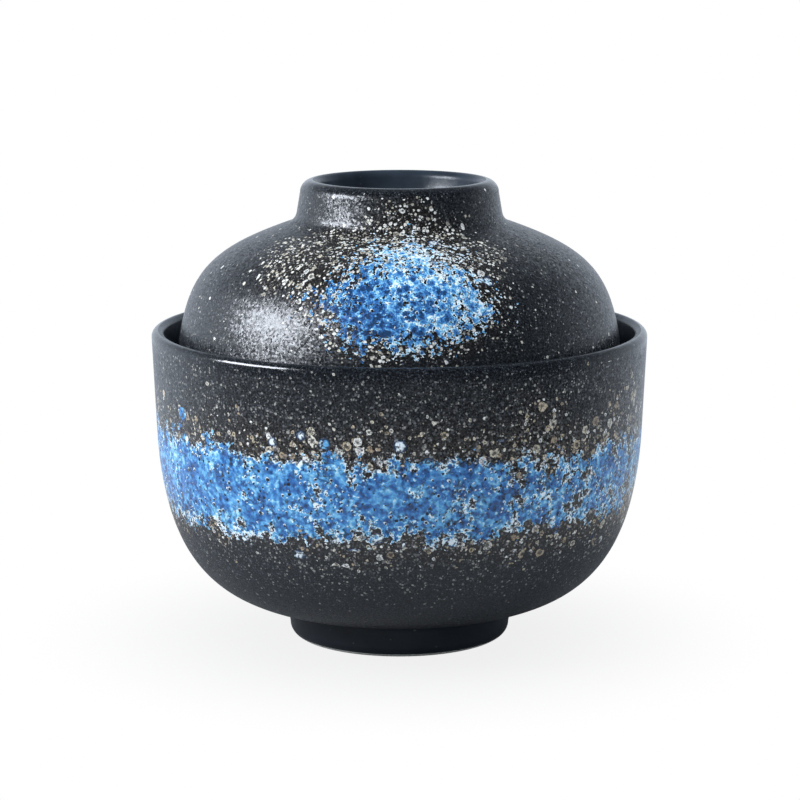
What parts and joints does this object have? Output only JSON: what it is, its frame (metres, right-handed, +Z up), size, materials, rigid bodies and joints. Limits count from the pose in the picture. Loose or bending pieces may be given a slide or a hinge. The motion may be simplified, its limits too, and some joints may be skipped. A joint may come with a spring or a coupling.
{
  "type": "lidded bowl",
  "caption": "Deep round stoneware bowl on a foot ring, with a domed lid that drops into its mouth and lifts off by a grip ring; black speckled glaze with a ragged blue band.",
  "frame": {"origin": "on the table, at the centre of the foot ring", "axes": "+Z up the axis of the bowl; -Y is the front that faces the viewer"},
  "size_m": [0.125, 0.125, 0.1167],
  "materials": {
    "bowl_glaze": "satin black stoneware glaze, fine grey grain and cream specks, ragged blue band",
    "lid_glaze": "satin black stoneware glaze, fine grey grain and cream specks, blue patch on the front"
  },
  "bodies": {
    "bowl_body": {"bowl": "bowl_glaze"},
    "lid_body": {"lid": "lid_glaze"}
  },
  "joints": [
    {"name": "lid_lift", "type": "slide", "parent": "bowl_body", "child": "lid_body", "axis": [0, 0, 1], "range_m": [0, 0.1]}
  ]
}
